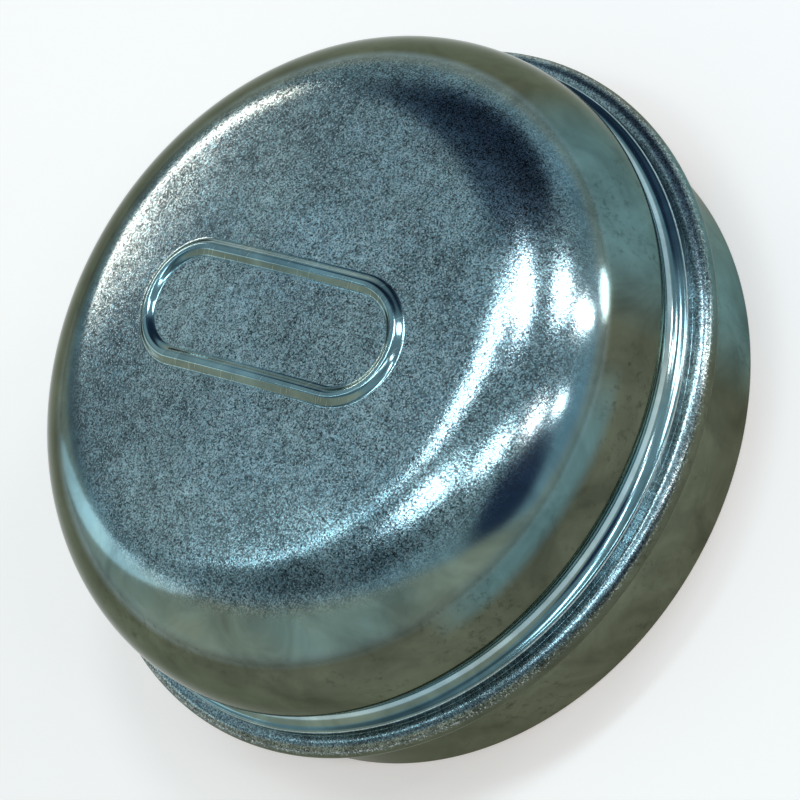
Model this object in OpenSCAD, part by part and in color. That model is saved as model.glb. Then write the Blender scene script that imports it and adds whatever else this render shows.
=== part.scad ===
// Grease cap for the outer end of a wheel hub, pressed from one disc of sheet steel.
// The skirt drives into the hub's bore until the folded bead stops against the hub's face.
// Origin: centre of the rim that the cap stands on. +Z runs along the axis, towards the crown.

/* [Sheet] */
// Thickness of the sheet
sheet_t = 1.2; // [0.8:0.1:1.4]
// Rounding of the cut rim, inside and out
rim_round = 0.3; // [0.1:0.05:0.35]

/* [Skirt] */
// Diameter of the skirt, measured on its outside
skirt_d = 62; // [56:1:76]
// Length of the skirt, from the rim to the underside of the bead
skirt_l = 8.5; // [6:0.25:12]

/* [Bead] */
// How far the bead stands out beyond the skirt
bead_out = 2.25; // [2.1:0.05:3]
// Room left between the two layers of the fold
fold_gap = 0.1; // [0.05:0.05:0.2]
// Rounding in the corner between the skirt and the bead's underside
bead_root = 0.4; // [0.2:0.05:0.5]

/* [Ledge above the bead] */
// How far the step lies in from the bead's outermost line
step_in = 1.6; // [1.55:0.05:1.7]
// Height of the step above the top of the bead
step_h = 0.95; // [0.5:0.05:1.2]
// Rounding of the step's edge
step_round = 0.3; // [0.1:0.05:0.3]

/* [Dome] */
// How far the neck is drawn in, compared with the skirt
neck_in = 0.6; // [0.3:0.05:0.9]
// Hollow bend between the ledge and the wall
neck_bend = 1.3; // [1:0.05:1.6]
// How far the wall's widest line stands out beyond the skirt
wall_out = 0.2; // [0:0.05:0.5]
// Bend by which the wall swells out above the neck
heel_bend = 2.5; // [2:0.25:4]
// Bend of the shoulder between wall and crown
shoulder_bend = 12.25; // [10:0.25:14]
// Radius of the slightly domed crown
crown_bend = 130; // [90:5:250]

/* [Raised loop on the crown] */
// Length of the loop over its round ends
loop_l = 30; // [20:1:33]
// Breadth of the loop
loop_w = 12; // [8:1:16]
// Breadth of the raised line
loop_line = 1.8; // [1.2:0.1:2.4]
// Height of the raised line above the crown
loop_h = 0.55; // [0.3:0.05:0.7]
// How much narrower the hollow behind the line is, on each side
loop_draft = 0.3; // [0.2:0.05:0.5]

/* [Hidden] */
$fn = 96;
// Largest turn between two points of a bend, in degrees
bend_turn = 7.5;
// Fewest pieces in a bend
bend_pieces = 3;

skirt_r = skirt_d / 2;
bead_t = 2 * sheet_t + fold_gap;
bead_r = skirt_r + bead_out;
bead_top = skirt_l + bead_t;
bead_middle = skirt_l + bead_t / 2;
fold_r = bead_r - bead_t / 2;

step_r = bead_r - step_in;
step_centre_r = step_r - step_round;
step_centre_z = bead_top + step_h - step_round;
neck_centre_r = skirt_r - neck_in + neck_bend;
// Two bends that curve opposite ways touch where their centres lie one sum of radii apart:
// first the step's round edge and the hollow neck, which is the ledge, then the neck and the heel
step_turn = acos((neck_centre_r - step_centre_r) / (neck_bend + step_round));
neck_centre_z = step_centre_z + (neck_bend + step_round) * sin(step_turn);

wall_r = skirt_r + wall_out;
heel_centre_r = wall_r - heel_bend;
heel_turn = acos((neck_centre_r - heel_centre_r) / (neck_bend + heel_bend));
wall_z = neck_centre_z + (neck_bend + heel_bend) * sin(heel_turn);

shoulder_centre_r = wall_r - shoulder_bend;
// The shoulder runs into the crown where both have the same slope
shoulder_turn = acos(shoulder_centre_r / (crown_bend - shoulder_bend));
crown_centre_z = wall_z - (crown_bend - shoulder_bend) * sin(shoulder_turn);

// Points along a bend about a centre. With first = 1 the point that ended the line before is left out.
function bend(centre, radius, from, to, first = 0) =
    let (pieces = max(bend_pieces, ceil(abs(to - from) / bend_turn)))
    [for (i = [first : pieces])
        let (turn = from + (to - from) * i / pieces)
        centre + radius * [cos(turn), sin(turn)]];

// Outside of the sheet, from the rim up to the middle of the crown
function outside() = concat(
    bend([skirt_r - rim_round, rim_round], rim_round, -90, 0),
    bend([skirt_r + bead_root, skirt_l - bead_root], bead_root, 180, 90),
    bend([fold_r, bead_middle], bead_t / 2, -90, 90),
    [[step_r, bead_top]],
    bend([step_centre_r, step_centre_z], step_round, 0, step_turn),
    bend([neck_centre_r, neck_centre_z], neck_bend, 180 + step_turn, 180 - heel_turn, 1),
    bend([heel_centre_r, wall_z], heel_bend, -heel_turn, 0, 1),
    bend([shoulder_centre_r, wall_z], shoulder_bend, 0, shoulder_turn, 1),
    bend([0, crown_centre_z], crown_bend, shoulder_turn, 90, 1)
);

// Inside of the sheet, from the middle of the crown down to the rim, with the open seam of the fold
function inside() = concat(
    bend([0, crown_centre_z], crown_bend - sheet_t, 90, shoulder_turn),
    bend([shoulder_centre_r, wall_z], shoulder_bend - sheet_t, shoulder_turn, 0, 1),
    bend([heel_centre_r, wall_z], heel_bend - sheet_t, 0, -heel_turn, 1),
    bend([neck_centre_r, neck_centre_z], neck_bend + sheet_t, 180 - heel_turn, 180 + step_turn, 1),
    [[fold_r, bead_middle]],
    bend([skirt_r + bead_root, skirt_l - bead_root], bead_root + sheet_t, 90, 180),
    bend([skirt_r - sheet_t + rim_round, rim_round], rim_round, 180, 270)
);

// The folded sheet, turned round the axis
module shell() {
    rotate_extrude() polygon(concat(outside(), inside()));
}

// A layer that follows the crown, between two heights above the crown's outside
module crown_layer(low, high) {
    rotate_extrude()
        polygon(concat(
            bend([0, crown_centre_z], crown_bend + high, shoulder_turn, 90),
            bend([0, crown_centre_z], crown_bend + low, 90, shoulder_turn)
        ));
}

// A flat shape with straight sides and round ends
module oblong(length, breadth) {
    square([length - breadth, breadth], center = true);
    for (side = [-1, 1])
        translate([side * (length - breadth) / 2, 0]) circle(d = breadth);
}

// The loop's line seen from above, narrower by a margin on both sides
module loop_outline(margin) {
    inner = 2 * (loop_line - margin);
    difference() {
        oblong(loop_l - 2 * margin, loop_w - 2 * margin);
        oblong(loop_l - inner, loop_w - inner);
    }
}

// The loop's line as it follows the crown, between two heights above the crown's outside
module loop_layer(margin, low, high) {
    intersection() {
        linear_extrude(height = crown_centre_z + crown_bend + 2 * sheet_t) loop_outline(margin);
        crown_layer(low, high);
    }
}

// The whole cap: the shell, with the loop pressed up out of the crown and hollow behind
module grease_cap() {
    color([0.64, 0.70, 0.70])
        difference() {
            union() {
                shell();
                loop_layer(0, -sheet_t / 2, loop_h);
            }
            loop_layer(loop_draft, -2 * sheet_t, loop_h - sheet_t);
        }
}

grease_cap();
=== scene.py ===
import math

import bpy
import numpy as np
from mathutils import Matrix, Vector


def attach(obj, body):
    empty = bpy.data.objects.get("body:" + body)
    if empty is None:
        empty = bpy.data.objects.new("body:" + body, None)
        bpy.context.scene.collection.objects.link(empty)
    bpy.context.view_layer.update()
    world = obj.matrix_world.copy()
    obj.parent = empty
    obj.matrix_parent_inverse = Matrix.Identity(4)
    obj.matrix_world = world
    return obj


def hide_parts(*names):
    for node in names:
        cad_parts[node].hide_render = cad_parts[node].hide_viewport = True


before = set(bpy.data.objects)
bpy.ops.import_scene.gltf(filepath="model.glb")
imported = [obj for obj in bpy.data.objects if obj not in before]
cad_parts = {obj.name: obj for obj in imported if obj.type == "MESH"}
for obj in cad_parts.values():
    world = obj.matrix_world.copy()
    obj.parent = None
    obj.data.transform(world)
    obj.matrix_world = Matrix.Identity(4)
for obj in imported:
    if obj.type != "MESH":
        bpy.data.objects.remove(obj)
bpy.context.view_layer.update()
bpy.context.scene.view_settings.view_transform = "Standard"

MM = 0.001
QUARTER_TURN = math.pi / 2
# Setting of a range node that eases in and out
EASED = {"interpolation_type": "SMOOTHSTEP"}

# Driving sizes of the cap in millimetres, the same as in the part's source
sheet_t = 1.2
rim_round = 0.3
skirt_r = 31.0
skirt_l = 8.5
bead_out = 2.25
fold_gap = 0.1
bead_root = 0.4
step_in = 1.6
step_h = 0.95
step_round = 0.3
neck_in = 0.6
neck_bend = 1.3
wall_out = 0.2
heel_bend = 2.5
shoulder_bend = 12.25
crown_bend = 130.0
loop_l = 30.0
loop_w = 12.0
loop_line = 1.8
loop_h = 0.55
loop_draft = 0.3

# Sizes that follow from them
bead_t = 2 * sheet_t + fold_gap
bead_r = skirt_r + bead_out
bead_middle = skirt_l + bead_t / 2
bead_top = skirt_l + bead_t
fold_r = bead_r - bead_t / 2
step_r = bead_r - step_in
step_centre_r = step_r - step_round
step_centre_z = bead_top + step_h - step_round
neck_r = skirt_r - neck_in + neck_bend
step_turn = math.acos((neck_r - step_centre_r) / (neck_bend + step_round))
neck_z = step_centre_z + (neck_bend + step_round) * math.sin(step_turn)
wall_r = skirt_r + wall_out
heel_r = wall_r - heel_bend
heel_turn = math.acos((neck_r - heel_r) / (neck_bend + heel_bend))
wall_z = neck_z + (neck_bend + heel_bend) * math.sin(heel_turn)
shoulder_r = wall_r - shoulder_bend
shoulder_turn = math.acos(shoulder_r / (crown_bend - shoulder_bend))
crown_z = wall_z - (crown_bend - shoulder_bend) * math.sin(shoulder_turn)
crown_edge = crown_bend * math.cos(shoulder_turn)
half_straight = (loop_l - loop_w) / 2
line_middle = (loop_w - loop_line) / 2

# Points over a quarter of a ring, on the loop's round end and on its straight side
ROUND_POINTS = 44
STRAIGHT_POINTS = 40
AROUND = 4 * (ROUND_POINTS + STRAIGHT_POINTS)
# Rings across the loop's line, and from the loop out to the edge of the crown
LINE_RINGS = 21
OUTER_BLENDS = 12
INNER_BLENDS = 8
# Short stretch beside each bend where its normals settle, so that flats stay flat
SETTLE = 0.04

# The loop's line has soft flanks, which spread a little past the line, and its top is rounded off
outer_flank = 0.85
inner_flank = 0.6
flank_spread = 0.06
line_reach = 1.25
rounded_off = 0.95


def linear(hexa):
    """An sRGB hex colour as the linear colour that Blender's sockets take."""
    parts = [int(hexa[i : i + 2], 16) / 255 for i in (1, 3, 5)]
    return (*[p / 12.92 if p <= 0.04045 else ((p + 0.055) / 1.055) ** 2.4 for p in parts], 1.0)


def add(tree, kind, feeds=None, out=0, **settings):
    """Adds a shader node with its settings and gives back one of its outputs, or the node if out is None.
    A feed is a number, a colour, or the output that is linked in."""
    made = tree.nodes.new("ShaderNode" + kind)
    for name, value in settings.items():
        setattr(made, name, value)
    for name, value in (feeds or {}).items():
        if isinstance(value, bpy.types.NodeSocket):
            tree.links.new(value, made.inputs[name])
        else:
            made.inputs[name].default_value = value
    return made if out is None else made.outputs[out]


def direction(azimuth, elevation=0):
    """Unit vector towards an azimuth and elevation in degrees."""
    a, e = math.radians(azimuth), math.radians(elevation)
    return Vector((math.cos(a) * math.cos(e), math.sin(a) * math.cos(e), math.sin(e)))


def placed(thing, name):
    """A new object in the scene that shows a mesh, a lamp or a camera."""
    made = bpy.data.objects.new(name, thing)
    bpy.context.collection.objects.link(made)
    return made


def bend(centre, radius, start, end, pieces):
    """Points (radius, height) along a bend of the sheet about a centre, from one turn to another, in
    radians. It has more pieces where the eye sees the bend large."""
    return [
        (centre[0] + radius * math.cos(a), centre[1] + radius * math.sin(a))
        for a in np.linspace(start, end, pieces + 1)
    ]


def joined(*runs):
    """One line of points from several, with a settling point at either end of each flat between them."""
    line = []
    for run in runs:
        if line:
            a, b = np.array(line[-1]), np.array(run[0])
            gap = np.linalg.norm(b - a)
            if gap > 4 * SETTLE:
                step = (b - a) / gap * SETTLE
                line += [tuple(a + step), tuple(b - step)]
            if gap < 1e-6:
                run = run[1:]
        line += list(run)
    return line


outer_line = joined(
    bend((shoulder_r, wall_z), shoulder_bend, shoulder_turn, 0, 54),
    bend((heel_r, wall_z), heel_bend, 0, -heel_turn, 9),
    bend((neck_r, neck_z), neck_bend, math.pi - heel_turn, math.pi + step_turn, 20),
    bend((step_centre_r, step_centre_z), step_round, step_turn, 0, 6),
    [(step_r, bead_top)],
    bend((fold_r, bead_middle), bead_t / 2, QUARTER_TURN, -QUARTER_TURN, 26),
    bend((skirt_r + bead_root, skirt_l - bead_root), bead_root, QUARTER_TURN, math.pi, 6),
    bend((skirt_r - rim_round, rim_round), rim_round, 0, -QUARTER_TURN, 6),
)
inner_line = joined(
    bend((skirt_r - sheet_t + rim_round, rim_round), rim_round, -QUARTER_TURN, -math.pi, 6),
    bend((skirt_r + bead_root, skirt_l - bead_root), bead_root + sheet_t, math.pi, QUARTER_TURN, 8),
    [(fold_r, bead_middle)],
    bend((neck_r, neck_z), neck_bend + sheet_t, math.pi + step_turn, math.pi - heel_turn, 12),
    bend((heel_r, wall_z), heel_bend - sheet_t, -heel_turn, 0, 5),
    bend((shoulder_r, wall_z), shoulder_bend - sheet_t, 0, shoulder_turn, 22),
)

ring_turns = np.arange(AROUND) * 2 * math.pi / AROUND
round_ring = np.stack([np.cos(ring_turns), np.sin(ring_turns)], 1)


def loop_ring(offset):
    """Points round the loop, seen from above, at an offset from the line that runs along its middle."""
    turns = np.linspace(0, QUARTER_TURN, ROUND_POINTS, endpoint=False)
    round_end = [(half_straight + offset * math.cos(a), offset * math.sin(a)) for a in turns]
    straight = [(x, offset) for x in np.linspace(half_straight, 0, STRAIGHT_POINTS, endpoint=False)]
    first = np.array(round_end + straight)
    second = np.array([(0, offset), *first[:0:-1]]) * (-1, 1)
    return np.concatenate([first, second, -first, -second])


def crown_rings(edge, offsets, blends):
    """Rings seen from above, from the middle of the loop out to the last before the crown's round edge."""
    rings = [loop_ring(offset) for offset in offsets]
    last = rings[-1]
    for share in np.linspace(0, 1, blends + 1)[1:-1]:
        rings.append(last * (1 - share) + edge * round_ring * share)
    return rings


def smooth(t):
    t = np.clip(t, 0, 1)
    return t * t * (3 - 2 * t)


def crown_points(ring, radius, half_line, flank):
    """Points of a ring on the crown, raised where the loop's line is pressed up."""
    beyond = np.hypot(np.maximum(np.abs(ring[:, 0]) - half_straight, 0), ring[:, 1])
    raised = loop_h * rounded_off * smooth((half_line - np.abs(beyond - line_middle)) / flank)
    height = crown_z + np.sqrt(radius**2 - (ring**2).sum(1)) + raised
    return np.column_stack([ring, height])


def turned_points(spot):
    """A ring of points at one place (radius, height) of the sheet's line."""
    return np.column_stack([spot[0] * round_ring, np.full(AROUND, spot[1])])


def shell_rings():
    """The sheet's rings in order: the crown's outside, down to the rim, and back up inside."""
    inside_loop = [0.6, 1.6, 2.6, 3.4]
    line_offsets = line_middle + np.linspace(-line_reach, line_reach, LINE_RINGS)
    half = loop_line / 2 + flank_spread
    inner_bend = crown_bend - sheet_t
    inner_edge = inner_bend * math.cos(shoulder_turn)
    outer_crown = crown_rings(crown_edge, [*inside_loop, *line_offsets], OUTER_BLENDS)
    inner_crown = crown_rings(inner_edge, [*inside_loop, *line_offsets[::2]], INNER_BLENDS)
    return (
        [crown_points(ring, crown_bend, half, outer_flank) for ring in outer_crown]
        + [turned_points(spot) for spot in outer_line + inner_line]
        + [crown_points(ring, inner_bend, half - loop_draft, inner_flank) for ring in reversed(inner_crown)]
    )


def shell_mesh(name):
    """The whole sheet as one closed mesh."""
    rings = shell_rings()
    step = np.arange(AROUND)
    after = (step + 1) % AROUND
    faces = []
    for k in range(len(rings) - 1):
        a, b = k * AROUND, (k + 1) * AROUND
        faces += np.column_stack([a + step, b + step, b + after, a + after]).tolist()
    # The innermost ring of each side is filled by strips from one straight side to the other
    for start, flip in ((0, False), ((len(rings) - 1) * AROUND, True)):
        for i in range(AROUND // 2):
            across = [i, i + 1, AROUND - i - 1, (AROUND - i) % AROUND]
            corners = [start + corner for corner in dict.fromkeys(across)]
            faces.append(corners[::-1] if flip else corners)
    mesh = bpy.data.meshes.new(name)
    mesh.from_pydata((np.concatenate(rings) * MM).tolist(), [], faces)
    mesh.validate()
    mesh.update()
    mesh.shade_smooth()
    return mesh


# The plate's patterns, in millimetres. Grain and facets of such sheet go down to 0.05, and are drawn
# as coarse as the picture needs to show them
grain_width, grain_depth = 0.22, 0.010
swell_width, swell_depth = 9.0, 0.05
draw_mark_width, draw_mark_depth = 0.5, 0.003
draw_mark_stretch = 20
facet_width = 0.11
clump_width = 1.1
stain_width = 6.5
cloud_width = 14.0
scuff_width = 0.8
scuff_patch = 7.0
scratch_length, scratch_width = 2.2, 0.1
scratch_azimuth = 67

# The plate's colours: the crown's, in clouds of the first two, and the ironed wall's and skirt's, which are
# painted reflection of a dim room
crown_blue, crown_pale, facet_grey = "#92B2BF", "#9FB2B2", "#A5AAAE"
wall_painted_olive, wall_painted_teal = "#5B6050", "#5F7F81"
# Pale shine of the scratches, which is wear, and of the painted glints on the grain's facets
scratch_and_glint_shine = "#D8E2E4"
edge_tint = "#C8CCC4"
# How dark and how pale each pattern makes the plate, where 1 is its own colour
# The facets' tones are the grain's own tone with painted micro-shadow in the pits and painted sparkle
facet_shade_and_sparkle = 0.08, 1.62
clump_tones = 0.58, 1.46
stain_tones = 0.68, 1.34
# Painted shade: the bead and ledge darker, for the dimmer things they mirror
flange_painted_shade = 0.8
# Painted tones: the skirt lighter and the wall darker, for how bright the things they mirror are
skirt_painted_tone, wall_painted_tone = 1.12, 0.86
scuff_tone = 0.5
# Roughness of the ironed sheet, of the grainy crown, and of the flange, which is the bead and the ledge
ironed_roughness, crown_roughness, flange_roughness = 0.13, 0.16, 0.22
# How much of the crown's speckle the flange keeps
flange_speckle = 0.75
# Heights between which the skirt's tone turns into the wall's
skirt_tone_ends, wall_tone_starts = 9.0, 13.0
# Noise lies mostly between two levels, and what is rare shows only where its own noise is high
low_noise, high_noise = 0.3, 0.7
rubbed_starts, rubbed_full = 0.52, 0.7
patch_starts, patch_full = 0.45, 0.62
scratch_starts, scratch_full = 0.66, 0.72
glitter_starts, glitter_full = 0.8, 0.93

# Where the grain fades out at the crown's edge: radii, and how much further it reaches towards one side
grain_ends, grain_full = 26.2, 23.6
grain_side, grain_lean = 15, 0.129
# The ironed wall, and with it the painted olive and teal, ends at a plane that leans a little: heights, the
# side where it is lowest, and the slope
ironed_top, ironed_full = 25.3, 23.7
fall_azimuth, fall = -12, 0.116
# It starts above the neck, and the ironed skirt ends below the bead: heights
wall_starts, wall_full = 13.5, 15.0
skirt_ends, skirt_full = 10.9, 10.1
# Painted teal reflection, in streaks on the sides of the wall and skirt that face two azimuths, the second
# one only near the top of the wall:
# azimuths, and how squarely a spot faces them where the streak starts and where it is full
teal_reflection_sides = [(41, 0.9, 0.998), (-16, 0.88, 0.995)]
second_starts, second_full = 18.2, 19.8


def shell_masks(tree, mm, height, flat, radius):
    """How far a spot is on each part of the sheet, from 0 to 1: grainy, crown, flange and ironed."""
    # Grain of the stretched crown, which fades out over the shoulder, and of the coined bead
    towards = add(tree, "VectorMath", {0: mm, 1: direction(grain_side)}, "Value", operation="DOT_PRODUCT")
    reach = add(tree, "Math", {0: towards, 1: -grain_lean, 2: radius}, operation="MULTIPLY_ADD")
    grain_edge = {"Value": reach, "From Min": grain_ends, "From Max": grain_full}
    on_crown = add(tree, "MapRange", grain_edge, **EASED)
    flange_edge = {"Value": radius, "From Min": skirt_r + 0.5, "From Max": skirt_r + 0.8}
    on_flange = add(tree, "MapRange", flange_edge, **EASED)
    coined = {"Value": height, "From Min": bead_middle + 0.15, "From Max": bead_middle + 0.85}
    upper_bead = add(tree, "MapRange", coined, **EASED)
    on_bead = add(tree, "Math", {0: on_flange, 1: upper_bead}, operation="MULTIPLY")
    grainy = add(tree, "Math", {0: on_crown, 1: on_bead}, operation="MAXIMUM")

    # The stamp smoothed the sheet where it pressed the loop's line up
    across = add(tree, "VectorMath", {0: flat}, operation="ABSOLUTE")
    past_straight = add(tree, "VectorMath", {0: across, 1: (half_straight, 0, 0)}, operation="SUBTRACT")
    past_straight = add(tree, "VectorMath", {0: past_straight, 1: (0, 0, 0)}, operation="MAXIMUM")
    from_middle = add(tree, "VectorMath", {0: past_straight}, "Value", operation="LENGTH")
    off_line = add(tree, "Math", {0: from_middle, 1: line_middle}, operation="SUBTRACT")
    off_line = add(tree, "Math", {0: off_line}, operation="ABSOLUTE")
    line_edge = {"Value": off_line, "From Min": loop_line / 3, "From Max": 2 * loop_line / 3}
    unstamped = add(tree, "MapRange", line_edge, **EASED)
    below_crown = add(tree, "Math", {0: radius, 1: crown_edge}, operation="GREATER_THAN")
    unstamped = add(tree, "Math", {0: unstamped, 1: below_crown}, operation="MAXIMUM")
    grainy = add(tree, "Math", {0: grainy, 1: unstamped}, operation="MULTIPLY")

    # The wall and the skirt were ironed between the dies, and the bead and ledge between them weren't. The
    # same mask lays the painted olive and teal reflection and painted tones on them
    fallen = direction(fall_azimuth) * fall
    fallen = add(tree, "VectorMath", {0: mm, 1: fallen}, "Value", operation="DOT_PRODUCT")
    reach = add(tree, "Math", {0: height, 1: fallen}, operation="ADD")
    top_edge = {"Value": reach, "From Min": ironed_top, "From Max": ironed_full}
    wall_edge = {"Value": height, "From Min": wall_starts, "From Max": wall_full}
    skirt_edge = {"Value": height, "From Min": skirt_ends, "From Max": skirt_full}
    below_top = add(tree, "MapRange", top_edge, **EASED)
    wall = add(tree, "MapRange", wall_edge, **EASED)
    skirt = add(tree, "MapRange", skirt_edge, **EASED)
    ironed = add(tree, "Math", {0: wall, 1: skirt}, operation="MAXIMUM")
    ironed = add(tree, "Math", {0: below_top, 1: ironed}, operation="MULTIPLY")
    return grainy, on_crown, on_flange, ironed


def crown_colour(tree, mm, facets, grainy):
    """Clear blue passivation: a cool blue grey, in places a trace paler, and greyed facet by facet."""
    clouds = {"Vector": mm, "Scale": 1 / cloud_width, "Detail": 3.0, "Roughness": 0.6}
    clouds = add(tree, "TexNoise", clouds)
    ramp = add(tree, "ValToRGB", {"Fac": clouds}, None)
    for stop, place, hexa in zip(ramp.color_ramp.elements, (0.35, 0.65), (crown_blue, crown_pale)):
        stop.position = place
        stop.color = linear(hexa)
    greyed = add(tree, "Math", {0: facets.outputs[1], 1: grainy}, operation="MULTIPLY")
    return add(tree, "Mix", {0: greyed, 6: ramp.outputs[0], 7: linear(facet_grey)}, 2, data_type="RGBA")


def wall_colour(tree, height, outward):
    """Painted reflection on the ironed wall and skirt: a dark olive, with teal streaks on the sides that
    face two azimuths.
    """
    streaks = []
    for azimuth, starts, full in teal_reflection_sides:
        towards = {0: outward, 1: direction(azimuth)}
        facing = add(tree, "VectorMath", towards, "Value", operation="DOT_PRODUCT")
        streak_edge = {"Value": facing, "From Min": starts, "From Max": full}
        streaks.append(add(tree, "MapRange", streak_edge, **EASED))
    high = {"Value": height, "From Min": second_starts, "From Max": second_full}
    high_on_wall = add(tree, "MapRange", high, **EASED)
    second = add(tree, "Math", {0: streaks[1], 1: high_on_wall}, operation="MULTIPLY")
    cool = add(tree, "Math", {0: streaks[0], 1: second}, operation="MAXIMUM")
    return add(tree, "Mix", {0: cool, 6: linear(wall_painted_olive), 7: linear(wall_painted_teal)}, 2, data_type="RGBA")


def tone_of_sheet(tree, mm, height, facets, speckled, on_flange, ironed):
    """How much paler or darker a spot is than its plate: grain with painted pits and sparkle, stains,
    painted shade on the flange, painted tones on the skirt and wall, and scuffs.
    """
    # Dark pits and bright facets of the grain, in clumps: the grain's own tone, with painted micro-shadow
    # in the pits and painted sparkle on the facets
    darkest, palest = facet_shade_and_sparkle
    facet = add(tree, "MapRange", {"Value": facets.outputs[0], "To Min": darkest, "To Max": palest})
    clumps = {"Vector": mm, "Scale": 1 / clump_width, "Detail": 5.0, "Roughness": 0.72}
    clumps = add(tree, "TexNoise", clumps)
    darkest, palest = clump_tones
    noise = {"From Min": low_noise, "From Max": high_noise}
    clump = add(tree, "MapRange", {"Value": clumps, "To Min": darkest, "To Max": palest, **noise})
    grain = add(tree, "Math", {0: facet, 1: clump}, operation="MULTIPLY")
    tone = add(tree, "Mix", {0: speckled, 2: 1.0, 3: grain})

    stains = {"Vector": mm, "Scale": 1 / stain_width, "Detail": 4.0, "Roughness": 0.6, "Distortion": 0.6}
    stains = add(tree, "TexNoise", stains)
    darkest, palest = stain_tones
    stain = add(tree, "MapRange", {"Value": stains, "To Min": darkest, "To Max": palest, **noise})
    # Painted shade on the bead and ledge
    flange = add(tree, "MapRange", {"Value": on_flange, "To Min": 1.0, "To Max": flange_painted_shade})

    # Painted tones: the skirt lighter and the wall darker than their plate, for how bright the things they
    # mirror are
    painted_band_tone = {"Value": height, "From Min": skirt_tone_ends, "From Max": wall_tone_starts}
    painted_band_tone = add(tree, "MapRange", {"To Min": skirt_painted_tone, "To Max": wall_painted_tone, **painted_band_tone})
    painted_band_tone = add(tree, "MapRange", {"Value": ironed, "To Min": 1.0, "To Max": painted_band_tone})

    # Small scuffs on the wall and skirt, in patches
    rubbed = {"Vector": mm, "Scale": 1 / scuff_width, "Detail": 4.0, "Roughness": 0.75}
    rubbed = add(tree, "TexNoise", rubbed)
    rubbed = {"Value": rubbed, "From Min": rubbed_starts, "From Max": rubbed_full}
    rubbed = add(tree, "MapRange", rubbed)
    patches = add(tree, "TexNoise", {"Vector": mm, "Scale": 1 / scuff_patch, "Detail": 2.0})
    patches = {"Value": patches, "From Min": patch_starts, "From Max": patch_full}
    patches = add(tree, "MapRange", patches)
    scuffed = add(tree, "Math", {0: rubbed, 1: patches}, operation="MULTIPLY")
    scuffed = add(tree, "Math", {0: scuffed, 1: ironed}, operation="MULTIPLY")
    scuff = add(tree, "MapRange", {"Value": scuffed, "To Min": 1.0, "To Max": scuff_tone})

    for share in (stain, flange, painted_band_tone, scuff):
        tone = add(tree, "Math", {0: tone, 1: share}, operation="MULTIPLY")
    return tone


def scratches_and_painted_glints(tree, mm, facets, on_crown, speckled):
    """Short fine scratches on the crown, most of them one way, where caps rub together in the box, and
    painted
    glints: a few facets of the grain painted pale."""
    lengthwise = direction(scratch_azimuth) / scratch_length
    crosswise = direction(scratch_azimuth + 90) / scratch_width
    along = add(tree, "VectorMath", {0: mm, 1: lengthwise}, "Value", operation="DOT_PRODUCT")
    aside = add(tree, "VectorMath", {0: mm, 1: crosswise}, "Value", operation="DOT_PRODUCT")
    way = add(tree, "CombineXYZ", {0: along, 1: aside})
    scratches = add(tree, "TexNoise", {"Vector": way, "Scale": 1.0, "Detail": 1.0})
    scratched = {"Value": scratches, "From Min": scratch_starts, "From Max": scratch_full}
    scratched = add(tree, "MapRange", scratched)
    scratched = add(tree, "Math", {0: scratched, 1: on_crown}, operation="MULTIPLY")
    # Painted glints: a few facets of the grain made pale
    glitter = {"Value": facets.outputs[2], "From Min": glitter_starts, "From Max": glitter_full}
    glitter = add(tree, "MapRange", glitter)
    glitter = add(tree, "Math", {0: glitter, 1: speckled}, operation="MULTIPLY")
    return add(tree, "Math", {0: scratched, 1: glitter}, operation="MAXIMUM")


def sheet_relief(tree, mm, grainy):
    """The sheet's unevenness: slow swells that bend the mirror image, fine marks where the wall slid down
    the die, and the grain of the stretched crown."""
    swell = add(tree, "TexNoise", {"Vector": mm, "Scale": 1 / swell_width, "Detail": 1.0})
    drawn = add(tree, "VectorMath", {0: mm, 1: (1, 1, 1 / draw_mark_stretch)}, operation="MULTIPLY")
    marks = {"Vector": drawn, "Scale": 1 / draw_mark_width, "Detail": 3.0, "Roughness": 0.6}
    marks = add(tree, "TexNoise", marks)
    grain = {"Vector": mm, "Scale": 1 / grain_width, "Detail": 3.0, "Roughness": 0.75}
    grain = add(tree, "TexNoise", grain)
    depth = add(tree, "Math", {0: grainy, 1: grain_depth * MM}, operation="MULTIPLY")
    relief = add(tree, "Bump", {"Height": swell, "Strength": 1.0, "Distance": swell_depth * MM})
    streaks = {"Height": marks, "Strength": 1.0, "Distance": draw_mark_depth * MM, "Normal": relief}
    relief = add(tree, "Bump", streaks)
    return add(tree, "Bump", {"Height": grain, "Strength": 1.0, "Distance": depth, "Normal": relief})


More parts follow.
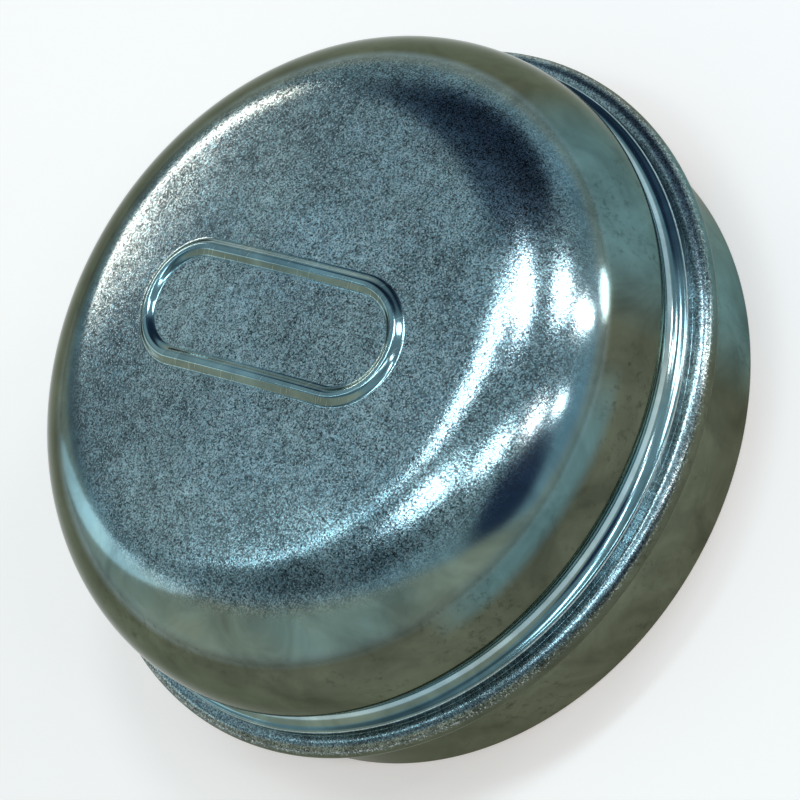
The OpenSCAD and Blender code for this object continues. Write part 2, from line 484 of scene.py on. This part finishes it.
def zinc_plate():
    """Bright zinc plate, clear blue passivated, on deep drawn steel sheet.
    Drawing the sheet left the crown as grainy as orange peel, so it glitters, and its colour adds painted
    glints and sparkle. It ironed the wall and the skirt smooth, so they mirror the room with soft edges;
    their dark olive and teal colour is painted reflection."""
    material = bpy.data.materials.new("zinc_plate_on_drawn_steel")
    material.use_nodes = True
    tree = material.node_tree
    tree.nodes.clear()

    place = add(tree, "TexCoord", out="Object")
    mm = add(tree, "VectorMath", {0: place, "Scale": 1 / MM}, operation="SCALE")
    height = add(tree, "SeparateXYZ", {0: mm}, "Z")
    flat = add(tree, "VectorMath", {0: mm, 1: (1, 1, 0)}, operation="MULTIPLY")
    radius = add(tree, "VectorMath", {0: flat}, "Value", operation="LENGTH")
    outward = add(tree, "VectorMath", {0: flat}, operation="NORMALIZE")
    grainy, on_crown, on_flange, ironed = shell_masks(tree, mm, height, flat, radius)
    calmer = add(tree, "MapRange", {"Value": on_flange, "To Min": 1.0, "To Max": flange_speckle})
    speckled = add(tree, "Math", {0: grainy, 1: calmer}, operation="MULTIPLY")
    facets = add(tree, "TexVoronoi", {"Vector": mm, "Scale": 1 / facet_width}, "Color")
    facets = add(tree, "SeparateXYZ", {0: facets}, None)

    crown_plate = crown_colour(tree, mm, facets, grainy)
    wall_plate = wall_colour(tree, height, outward)
    plate = add(tree, "Mix", {0: ironed, 6: crown_plate, 7: wall_plate}, 2, data_type="RGBA")
    tone = tone_of_sheet(tree, mm, height, facets, speckled, on_flange, ironed)
    plate = add(tree, "VectorMath", {0: plate, "Scale": tone}, operation="SCALE")
    spots = scratches_and_painted_glints(tree, mm, facets, on_crown, speckled)
    plate = add(tree, "Mix", {0: spots, 6: plate, 7: linear(scratch_and_glint_shine)}, 2, data_type="RGBA")
    roughness = {"Value": grainy, "To Min": ironed_roughness, "To Max": crown_roughness}
    roughness = add(tree, "MapRange", roughness)
    roughness = {"Value": on_flange, "To Min": roughness, "To Max": flange_roughness}
    roughness = add(tree, "MapRange", roughness)
    finish = {
        "Base Color": plate,
        "Metallic": 1.0,
        "Specular Tint": linear(edge_tint),
        "Roughness": roughness,
        "Normal": sheet_relief(tree, mm, grainy),
    }
    add(tree, "OutputMaterial", {"Surface": add(tree, "BsdfPrincipled", finish)}, None)
    return material


# The cap
cap = placed(shell_mesh("cap_shell"), "cap_shell")
cap.data.materials.append(zinc_plate())
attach(cap, "root")
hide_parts("grease_cap")

# Camera: where the photographer stood, in degrees and millimetres, and how far the picture is rolled
camera_azimuth = -12.4
camera_elevation = 48.57
camera_roll = -59.0
camera_distance = 399.1
focal_length = 202.5
# How far the picture's middle lies right of and below the middle of the bead
picture_right = 0.547
picture_down = 0.282


def photographer():
    """The scene's camera, at the photograph's viewing angle."""
    data = bpy.data.cameras.new("camera")
    data.lens = focal_length
    data.sensor_width = 36.0
    camera = placed(data, "camera")
    back = direction(camera_azimuth, camera_elevation)
    level = Vector((0, 0, 1)).cross(back).normalized()
    rise = back.cross(level)
    roll = math.radians(camera_roll)
    right = level * math.cos(roll) + rise * math.sin(roll)
    up = back.cross(right)
    aim = Vector((0, 0, bead_middle)) + right * picture_right - up * picture_down
    turn = Matrix((right, up, back)).transposed().to_4x4()
    camera.matrix_world = Matrix.Translation((aim + back * camera_distance) * MM) @ turn
    bpy.context.scene.camera = camera


photographer()

# The floor and the tent, in metres
floor_reach = 3.0
floor_corners = 96
tent_reach = 3.0
lamp_distance = 1.5

# A little of the floor's paleness is its own, for the eye and in what mirrors it, so that the shadow stays
floor_colour = linear("#ECE1DD")
floor_glow = 0.45


def matt_paint():
    """Pale matt paint on a flat board: rolled on, so it has no gloss."""
    material = bpy.data.materials.new("pale_matt_paint")
    material.use_nodes = True
    tree = material.node_tree
    tree.nodes.clear()
    rays = add(tree, "LightPath", out=None).outputs
    seen = add(tree, "Math", {0: rays["Is Camera Ray"], 1: rays["Is Glossy Ray"]}, operation="ADD")
    seen = add(tree, "Math", {0: seen, 1: rays["Is Transmission Ray"]}, operation="ADD")
    glow = add(tree, "Math", {0: seen, 1: floor_glow}, operation="MULTIPLY")
    finish = {
        "Base Color": floor_colour,
        "Roughness": 0.9,
        "Specular IOR Level": 0.1,
        "Emission Color": floor_colour,
        "Emission Strength": glow,
    }
    add(tree, "OutputMaterial", {"Surface": add(tree, "BsdfPrincipled", finish)}, None)
    material.cycles.emission_sampling = "NONE"
    return material


def round_floor():
    """The flat board that the cap stands on, wider than the picture."""
    turns = [2 * math.pi * i / floor_corners for i in range(floor_corners)]
    corners = [(floor_reach * math.cos(t), floor_reach * math.sin(t), 0) for t in turns]
    mesh = bpy.data.meshes.new("floor")
    mesh.from_pydata(corners, [], [list(range(floor_corners))])
    mesh.materials.append(matt_paint())
    return placed(mesh, "floor")


round_floor()

# The tent round the table glows with painted light in pale and dark panels, standing in for the room. Its
# olive side is a flat board that leans over the table
olive_azimuth = -100
olive_lean = 45
olive_glow = "#A8AA98"
# How far round the board's edge its colour fades, as a sine
olive_starts, olive_full = -0.03, 0.09
# The foot of the tent is pale all round: elevations in degrees where it ends and up to where it is full
foot_glow = "#B2B4A8"
foot_ends, foot_full = 10, 4
plain_glow = "#849EA6"
# Panels: middle azimuth and elevation, half width and half height in degrees, softness of the edge, colour
tent_panels = [
    (168, 48, 30, 24, 0.4, "#98B0B8"),
    (107, 38, 36, 22, 0.15, "#3A4D60"),
    (102, 33, 33, 12, 0.35, "#222F40"),
    (-18, 28, 20, 14, 0.3, "#263650"),
    (-177, 20, 7, 12, 0.45, "#66767C"),
    (-122, 56, 30, 8, 0.5, "#55686E"),
    (-78, 56, 30, 8, 0.5, "#55686E"),
]


def glowing_tent():
    """The tent glows with painted light, standing in for the lit room: each panel gives off its own plain
    colour, and the edges between are soft.
    """
    material = bpy.data.materials.new("glowing_tent")
    material.use_nodes = True
    tree = material.node_tree
    tree.nodes.clear()
    place = add(tree, "TexCoord", out="Object")
    way = add(tree, "VectorMath", {0: place}, operation="NORMALIZE")
    rise = add(tree, "SeparateXYZ", {0: way}, "Z")
    elevation = add(tree, "Math", {0: rise}, operation="ARCSINE")
    # Azimuth is measured from across the tent, so that its seam lies in the olive side
    ahead = {0: way, 1: direction(olive_azimuth + 180)}
    ahead = add(tree, "VectorMath", ahead, "Value", operation="DOT_PRODUCT")
    aside = {0: way, 1: direction(olive_azimuth + 270)}
    aside = add(tree, "VectorMath", aside, "Value", operation="DOT_PRODUCT")
    azimuth = add(tree, "Math", {0: aside, 1: ahead}, operation="ARCTAN2")
    spot = add(tree, "CombineXYZ", {0: azimuth, 1: elevation})

    cloth = linear(plain_glow)
    for mid_azimuth, mid_elevation, half_width, half_height, soft, hexa in tent_panels:
        turn = (mid_azimuth - olive_azimuth) % 360 - 180
        middle = (math.radians(turn), math.radians(mid_elevation), 0)
        scale = (1 / math.radians(half_width), 1 / math.radians(half_height), 0)
        off = add(tree, "VectorMath", {0: spot, 1: middle}, operation="SUBTRACT")
        off = add(tree, "VectorMath", {0: off, 1: scale}, operation="MULTIPLY")
        far = add(tree, "VectorMath", {0: off}, "Value", operation="LENGTH")
        edge = {"Value": far, "From Min": 1 + soft, "From Max": 1 - soft}
        share = add(tree, "MapRange", edge, **EASED)
        cloth = add(tree, "Mix", {0: share, 6: cloth, 7: linear(hexa)}, 2, data_type="RGBA")

    board = direction(olive_azimuth, -olive_lean)
    lean = add(tree, "VectorMath", {0: way, 1: board}, "Value", operation="DOT_PRODUCT")
    edge = {"Value": lean, "From Min": olive_starts, "From Max": olive_full}
    olive = add(tree, "MapRange", edge, **EASED)
    cloth = add(tree, "Mix", {0: olive, 6: cloth, 7: linear(olive_glow)}, 2, data_type="RGBA")
    edge = {"Value": elevation, "From Min": math.radians(foot_ends), "From Max": math.radians(foot_full)}
    foot = add(tree, "MapRange", edge, **EASED)
    cloth = add(tree, "Mix", {0: foot, 6: cloth, 7: linear(foot_glow)}, 2, data_type="RGBA")
    glow = add(tree, "Emission", {"Color": cloth, "Strength": 1.0})
    add(tree, "OutputMaterial", {"Surface": glow}, None)
    material.cycles.emission_sampling = "NONE"
    return material


bpy.ops.mesh.primitive_uv_sphere_add(segments=64, ring_count=32, radius=tent_reach)
tent = bpy.context.object
tent.name = "tent"
tent.data.shade_smooth()
tent.data.materials.append(glowing_tent())


def strip_lamp(name, start, end, width, glow, hexa="#FFFFFF"):
    """A long soft lamp that faces the cap and spans the sky from one azimuth and elevation to another.
    Width is what it spans across, in degrees, and glow is its brightness, where 1 is white."""
    first, last = direction(*start), direction(*end)
    way = (first + last).normalized()
    across = (first - last).normalized()
    up = way.cross(across)
    data = bpy.data.lights.new(name, "AREA")
    data.shape = "ELLIPSE"
    data.size = 2 * lamp_distance * math.tan(first.angle(last) / 2)
    data.size_y = 2 * lamp_distance * math.tan(math.radians(width / 2))
    data.energy = math.pi * data.size * data.size_y * glow
    data.color = linear(hexa)[:3]
    made = placed(data, name)
    turn = Matrix((across, up, way)).transposed().to_4x4()
    made.matrix_world = Matrix.Translation(way * lamp_distance) @ turn
    made.visible_camera = False


# The strips, windows and blinds that the cap mirrors, each with where it starts and where it ends
strip_lamp("roof_strip", (80, 66), (-168, 78), 5.2, 10, "#D4EEF8")
strip_lamp("roof_strip_end", (-153, 76), (-160, 50), 3.4, 2.8, "#BFE6F2")
strip_lamp("high_window", (80, 59), (48, 60), 11, 8.5, "#DCF0FA")
strip_lamp("middle_window", (53, 37), (40, 33), 12, 8.5, "#E0F2FB")
strip_lamp("low_window", (40, 26), (36, 12), 6, 10)
strip_lamp("lowest_window", (50, 4), (37, 2), 6, 10)
strip_lamp("blind_1", (-102, 74), (-28, 67), 7, 6.5, "#C8E8F5")
strip_lamp("blind_2", (-22, 63), (-3, 49), 5.5, 8, "#CCEAF6")
strip_lamp("blind_3", (2, 43), (7, 34), 4.5, 9)
strip_lamp("blind_4", (10, 28), (12, 21), 4, 9)
strip_lamp("side_board", (-173, 0), (-140, 36), 11, 0.7, "#CBE7F4")
strip_lamp("back_window", (174, 23), (147, 18), 4.5, 7.5, "#FFF4E6")
